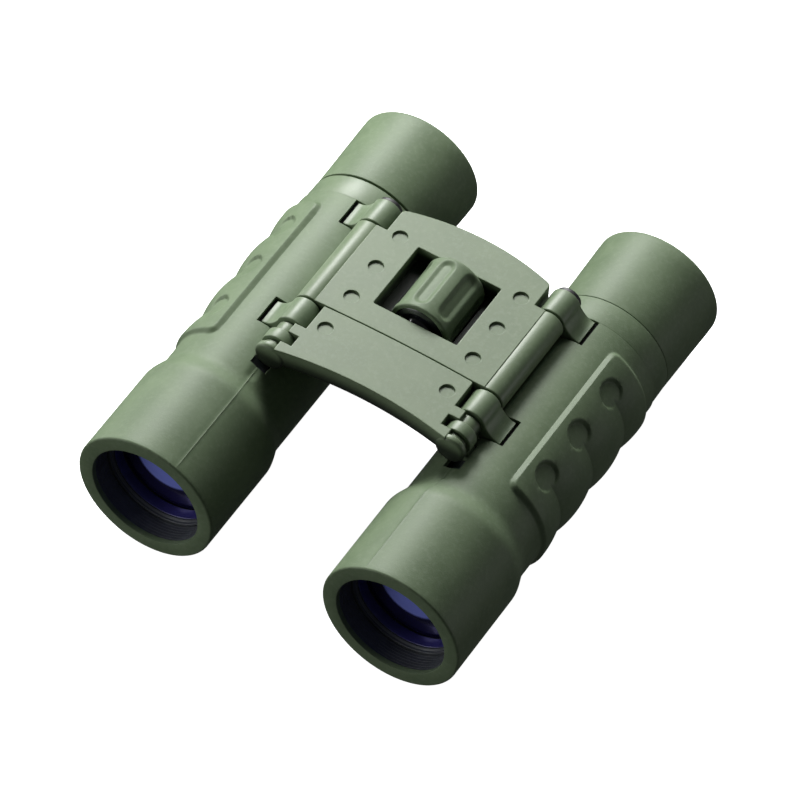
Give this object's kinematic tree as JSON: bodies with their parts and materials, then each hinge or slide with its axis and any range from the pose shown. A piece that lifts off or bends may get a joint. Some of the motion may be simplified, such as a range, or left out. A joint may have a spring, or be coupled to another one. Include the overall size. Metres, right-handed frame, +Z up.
{
  "type": "compact folding binoculars",
  "caption": "Compact roof-prism binoculars with a double folding hinge, central focus wheel, rubber-armoured barrels with scalloped grips, and soft eyecups.",
  "frame": {"origin": "middle of the bounding box's underside, on the surface that the objective bells rest on", "axes": "+Z up, +Y along the barrels towards the eyepieces, objectives at -Y, the user's right barrel at -X"},
  "size_m": [0.096, 0.114, 0.041],
  "materials": {
    "green_rubber": "matte moulded rubber, sage green",
    "green_casting": "satin painted, sage green",
    "black_plastic": "matte black",
    "gloss_black": "gloss black",
    "black_aluminium": "matte black anodised, ribbed",
    "coated_glass": "blue-violet anti-reflection coating",
    "clear_glass": "polished",
    "steel": "ground steel",
    "brass": "turned brass"
  },
  "bodies": {
    "bridge": {"main_bridge": "green_casting", "bridge_cover": "green_casting", "cover_screws": "steel", "right_hinge_pin": "steel", "left_hinge_pin": "steel", "right_hinge_cap": "black_plastic", "left_hinge_cap": "black_plastic", "front_wheel_bush": "black_plastic", "rear_wheel_bush": "black_plastic"},
    "front_bridge": {"front_bridge": "green_casting", "focus_screw": "steel"},
    "focus_wheel": {"focus_wheel": "green_casting", "focus_wheel_cap": "gloss_black", "focus_nut": "brass"},
    "dioptre_ring": {"right_dioptre_ring": "green_casting"},
    "right_eyepiece": {"right_eyepiece_tube": "black_plastic", "right_field_lens": "clear_glass", "right_eye_lens": "coated_glass", "right_field_stop": "black_plastic", "right_eyecup": "green_rubber"},
    "right_barrel": {"right_barrel_shell": "green_casting", "right_barrel_armour": "green_rubber", "right_prism_cage": "black_plastic", "right_half_penta_prism": "clear_glass", "right_roof_prism": "clear_glass"},
    "right_objective": {"right_objective_cell": "black_aluminium", "right_crown_lens": "coated_glass", "right_flint_lens": "clear_glass", "right_lock_ring": "black_aluminium", "right_focus_arm": "green_casting", "right_arm_screw": "steel"},
    "left_barrel": {"left_barrel_shell": "green_casting", "left_barrel_armour": "green_rubber", "left_prism_cage": "black_plastic", "left_half_penta_prism": "clear_glass", "left_roof_prism": "clear_glass", "left_eyepiece_collar": "green_casting", "left_eyepiece_tube": "black_plastic", "left_field_lens": "clear_glass", "left_eye_lens": "coated_glass", "left_field_stop": "black_plastic", "left_eyecup": "green_rubber"},
    "left_objective": {"left_objective_cell": "black_aluminium", "left_crown_lens": "coated_glass", "left_flint_lens": "clear_glass", "left_lock_ring": "black_aluminium", "left_focus_arm": "green_casting", "left_arm_screw": "steel"}
  },
  "joints": [
    {"name": "right_fold", "type": "hinge", "parent": "bridge", "child": "right_barrel", "pos_m": [-0.0228, 0, 0.03435], "axis": [0, -1, 0], "range_deg": [-17, 41.5]},
    {"name": "left_fold", "type": "hinge", "parent": "bridge", "child": "left_barrel", "pos_m": [0.0228, 0, 0.03435], "axis": [0, 1, 0], "range_deg": [-17, 41.5]},
    {"name": "focus_turn", "type": "hinge", "parent": "bridge", "child": "focus_wheel", "pos_m": [0, 0, 0.03375], "axis": [0, 1, 0], "range_deg": [0, 450]},
    {"name": "front_bridge_slide", "type": "slide", "parent": "bridge", "child": "front_bridge", "axis": [0, -1, 0], "range_m": [0, 0.004]},
    {"name": "right_objective_slide", "type": "slide", "parent": "right_barrel", "child": "right_objective", "axis": [0, -1, 0], "range_m": [0, 0.004]},
    {"name": "left_objective_slide", "type": "slide", "parent": "left_barrel", "child": "left_objective", "axis": [0, -1, 0], "range_m": [0, 0.004]},
    {"name": "dioptre_turn", "type": "hinge", "parent": "right_barrel", "child": "dioptre_ring", "pos_m": [-0.031, 0, 0.017], "axis": [0, 1, 0], "range_deg": [-45, 45]},
    {"name": "right_eyepiece_slide", "type": "slide", "parent": "right_barrel", "child": "right_eyepiece", "axis": [0, 1, 0], "range_m": [-0.0004, 0.0004]}
  ],
  "couplings": [
    {"joint": "focus_turn", "follows": "front_bridge_slide", "rad_per_m": 1963.4},
    {"joint": "right_objective_slide", "follows": "front_bridge_slide", "ratio": 1},
    {"joint": "left_objective_slide", "follows": "front_bridge_slide", "ratio": 1},
    {"joint": "dioptre_turn", "follows": "right_eyepiece_slide", "rad_per_m": 1963.4}
  ]
}
